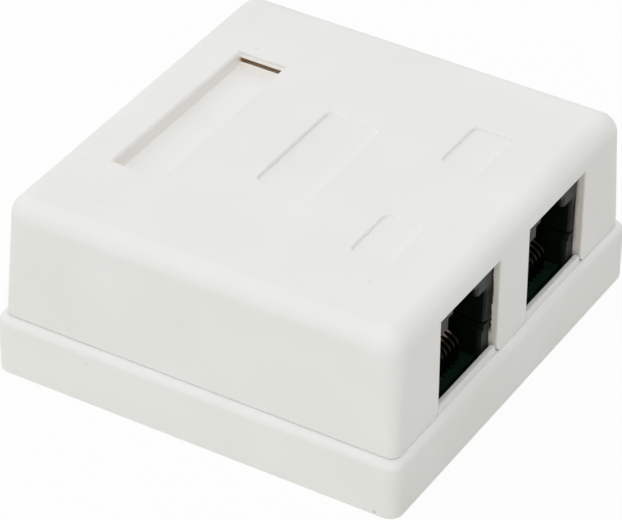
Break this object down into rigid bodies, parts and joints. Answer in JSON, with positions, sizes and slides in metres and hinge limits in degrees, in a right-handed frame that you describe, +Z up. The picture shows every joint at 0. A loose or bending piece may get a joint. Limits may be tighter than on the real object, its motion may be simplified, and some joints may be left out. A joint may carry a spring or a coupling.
{
  "type": "surface mount jack box",
  "caption": "Low square surface mount box with modular jack ports along one side, a lift-off snap cover and a tray base that screws to a wall.",
  "frame": {"origin": "centre of the base's underside", "axes": "+Z up out of the wall or desk the box sits on, -Y towards the ports, +X along the row of ports"},
  "size_m": [0.064, 0.061, 0.027],
  "materials": {
    "base_plastic": "moulded white ABS, fine satin",
    "cover_plastic": "moulded white ABS, fine satin",
    "board_laminate": "green solder mask on glass laminate",
    "jack_plastic": "black moulded, semi-matt",
    "contact_plating": "gold-plated phosphor bronze wire",
    "terminal_plastic": "moulded, semi-matt",
    "clip_plating": "tin-plated bronze strip",
    "screw_steel": "zinc-plated steel"
  },
  "bodies": {
    "base_unit": {"base": "base_plastic", "circuit_board": "board_laminate", "board_screws": "screw_steel", "jack_housing_left": "jack_plastic", "jack_housing_right": "jack_plastic", "contact_left_1": "contact_plating", "contact_left_2": "contact_plating", "contact_left_3": "contact_plating", "contact_left_4": "contact_plating", "contact_left_5": "contact_plating", "contact_left_6": "contact_plating", "contact_left_7": "contact_plating", "contact_left_8": "contact_plating", "contact_right_1": "contact_plating", "contact_right_2": "contact_plating", "contact_right_3": "contact_plating", "contact_right_4": "contact_plating", "contact_right_5": "contact_plating", "contact_right_6": "contact_plating", "contact_right_7": "contact_plating", "contact_right_8": "contact_plating", "terminal_block_left_front": "terminal_plastic", "terminal_block_left_rear": "terminal_plastic", "terminal_block_right_front": "terminal_plastic", "terminal_block_right_rear": "terminal_plastic", "terminal_clip_left_front_1": "clip_plating", "terminal_clip_left_front_2": "clip_plating", "terminal_clip_left_front_3": "clip_plating", "terminal_clip_left_front_4": "clip_plating", "terminal_clip_left_rear_1": "clip_plating", "terminal_clip_left_rear_2": "clip_plating", "terminal_clip_left_rear_3": "clip_plating", "terminal_clip_left_rear_4": "clip_plating", "terminal_clip_right_front_1": "clip_plating", "terminal_clip_right_front_2": "clip_plating", "terminal_clip_right_front_3": "clip_plating", "terminal_clip_right_front_4": "clip_plating", "terminal_clip_right_rear_1": "clip_plating", "terminal_clip_right_rear_2": "clip_plating", "terminal_clip_right_rear_3": "clip_plating", "terminal_clip_right_rear_4": "clip_plating"},
    "cover": {"cover": "cover_plastic"}
  },
  "joints": [
    {"name": "cover_lift", "type": "slide", "parent": "base_unit", "child": "cover", "axis": [0, 0, 1], "range_m": [0, 0.02]}
  ]
}
